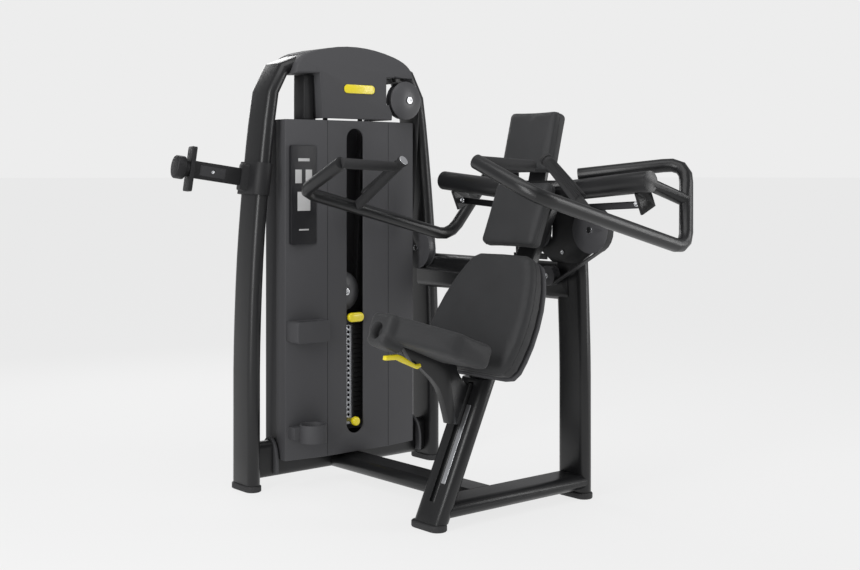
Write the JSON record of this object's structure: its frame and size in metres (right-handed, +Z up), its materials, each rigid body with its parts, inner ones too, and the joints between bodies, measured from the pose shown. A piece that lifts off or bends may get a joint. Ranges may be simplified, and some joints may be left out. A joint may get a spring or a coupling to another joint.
{
  "type": "shoulder press machine",
  "caption": "Seated shoulder press machine: reclined seat and back pads, two swinging press arms with grips, and a covered weight-stack tower driven by a flat belt.",
  "frame": {"origin": "middle of the machine's floor area, on the floor", "axes": "+Z up; -X is the way the seated user faces; +Y is the side the weight tower stands on"},
  "size_m": [1.07, 1.417, 1.497],
  "materials": {
    "painted_frame": "satin powder coat",
    "cover_plastic": "fine matte",
    "stack_iron": "black painted",
    "dark_steel": "semi-matte",
    "pulley_plastic": "satin",
    "bright_steel": "satin",
    "yellow_plastic": "glossy",
    "upholstery": "soft matte synthetic leather",
    "black_rubber": "matte"
  },
  "bodies": {
    "frame": {"tower_frame": "painted_frame", "rear_post": "painted_frame", "seat_post": "painted_frame", "tower_crossbeam": "painted_frame", "seat_base_beam": "painted_frame", "centre_base_beam": "painted_frame", "upper_link_beam": "painted_frame", "foot_pad_1": "black_rubber", "foot_pad_2": "black_rubber", "foot_pad_3": "black_rubber", "foot_pad_4": "black_rubber", "beam_collar_left": "cover_plastic", "beam_collar_right": "cover_plastic", "shroud_front": "cover_plastic", "shroud_rear": "cover_plastic", "head_cover": "cover_plastic", "crown_box": "cover_plastic", "badge_plate": "yellow_plastic", "instruction_placard": "cover_plastic", "towel_hook_box": "cover_plastic", "bottle_holder": "cover_plastic", "holder_clamp": "cover_plastic", "device_holder_arm": "cover_plastic", "pivot_hub": "painted_frame", "pivot_bracket": "painted_frame", "guide_rods": "bright_steel", "stack_bumper": "black_rubber", "far_press_pulley": "pulley_plastic", "drive_belt": "black_rubber", "lift_belt": "black_rubber", "lower_back_pad": "upholstery", "lower_back_shell": "cover_plastic", "middle_back_pad": "upholstery", "head_pad": "upholstery", "height_scale": "bright_steel", "back_support": "painted_frame"},
    "stack": {"weight_stack": "stack_iron", "head_plate": "stack_iron", "selector_stem": "bright_steel"},
    "pin": {"selector_pin": "yellow_plastic"},
    "add_lever": {"add_weight_lever": "yellow_plastic"},
    "stack_wheel": {"stack_pulley": "pulley_plastic"},
    "corner_wheel": {"corner_pulley": "pulley_plastic"},
    "tower_wheel": {"tower_side_pulley": "pulley_plastic"},
    "near_wheel": {"near_press_pulley": "pulley_plastic"},
    "guide_wheel": {"guide_pulley": "pulley_plastic"},
    "crown_wheel": {"crown_pulley": "pulley_plastic"},
    "arm_left": {"press_arm_left": "painted_frame", "front_grip_left": "black_rubber", "cross_grip_left": "black_rubber", "tie_rod_left": "dark_steel"},
    "arm_right": {"press_arm_right": "painted_frame", "front_grip_right": "black_rubber", "cross_grip_right": "black_rubber", "tie_rod_right": "dark_steel"},
    "seat": {"seat_cushion": "upholstery", "seat_bracket": "painted_frame", "seat_carriage": "dark_steel"},
    "seat_latch": {"seat_lever": "yellow_plastic"},
    "holder_knob": {"device_holder_knob": "cover_plastic"}
  },
  "joints": [
    {"name": "stack_lift", "type": "slide", "parent": "frame", "child": "stack", "axis": [0, 0, 1], "range_m": [0, 0.28], "deforming": ["lift_belt"]},
    {"name": "pin_pull", "type": "slide", "parent": "stack", "child": "pin", "axis": [0, -1, 0], "range_m": [0, 0.04]},
    {"name": "add_weight_turn", "type": "hinge", "parent": "stack", "child": "add_lever", "pos_m": [0.10026, 0.53558, 0.5575], "axis": [0, 1, 0], "range_deg": [0, 90]},
    {"name": "arm_left_press", "type": "hinge", "parent": "frame", "child": "arm_left", "pos_m": [0.32426, -0.15442, 0.9915], "axis": [0, 0.996, -0.0894], "range_deg": [0, 45.5]},
    {"name": "arm_right_press", "type": "hinge", "parent": "frame", "child": "arm_right", "pos_m": [0.32426, -0.15442, 0.9915], "axis": [0, 0.996, 0.0894], "range_deg": [0, 45.5]},
    {"name": "stack_wheel_turn", "type": "hinge", "parent": "stack", "child": "stack_wheel", "pos_m": [0.07326, 0.57558, 0.646], "axis": [0, -1, 0], "range_deg": [0, 255]},
    {"name": "corner_wheel_turn", "type": "hinge", "parent": "frame", "child": "corner_wheel", "pos_m": [0.32126, 0.53158, 1.318], "axis": [0, 1, 0], "range_deg": [0, 510]},
    {"name": "crown_wheel_turn", "type": "hinge", "parent": "frame", "child": "crown_wheel", "pos_m": [0.20926, 0.57558, 1.335], "axis": [0, 1, 0], "range_deg": [0, 720]},
    {"name": "tower_wheel_turn", "type": "hinge", "parent": "frame", "child": "tower_wheel", "pos_m": [0.43026, 0.57058, 0.785], "axis": [-1, 0, 0], "range_deg": [0, 445]},
    {"name": "guide_wheel_turn", "type": "hinge", "parent": "frame", "child": "guide_wheel", "pos_m": [0.43026, -0.09942, 0.722], "axis": [-1, 0, 0], "range_deg": [0, 1050]},
    {"name": "near_wheel_turn", "type": "hinge", "parent": "frame", "child": "near_wheel", "pos_m": [0.43026, -0.28942, 0.877], "axis": [-1, 0, 0], "range_deg": [0, 445]},
    {"name": "seat_height", "type": "slide", "parent": "frame", "child": "seat", "axis": [0.4231, 0, 0.9061], "range_m": [-0.16, 0]},
    {"name": "seat_lever_tilt", "type": "hinge", "parent": "seat", "child": "seat_latch", "pos_m": [-0.20274, -0.17842, 0.493], "axis": [0, 1, 0], "range_deg": [-12, 0], "stiffness_Nm_per_rad": 2, "springref_deg": 11.46},
    {"name": "holder_knob_turn", "type": "hinge", "parent": "frame", "child": "holder_knob", "pos_m": [-0.47974, 0.66218, 1.0729], "axis": [-0.9681, 0.2004, 0.1503], "continuous": true}
  ],
  "couplings": [
    {"joint": "arm_left_press", "follows": "stack_lift", "rad_per_m": 2.805},
    {"joint": "arm_right_press", "follows": "stack_lift", "rad_per_m": 2.805},
    {"joint": "stack_wheel_turn", "follows": "stack_lift", "rad_per_m": 15.67},
    {"joint": "corner_wheel_turn", "follows": "stack_lift", "rad_per_m": 31.35},
    {"joint": "crown_wheel_turn", "follows": "stack_lift", "rad_per_m": 44.6},
    {"joint": "tower_wheel_turn", "follows": "stack_lift", "rad_per_m": 27.47},
    {"joint": "guide_wheel_turn", "follows": "stack_lift", "rad_per_m": 64.9},
    {"joint": "near_wheel_turn", "follows": "stack_lift", "rad_per_m": 27.47}
  ]
}
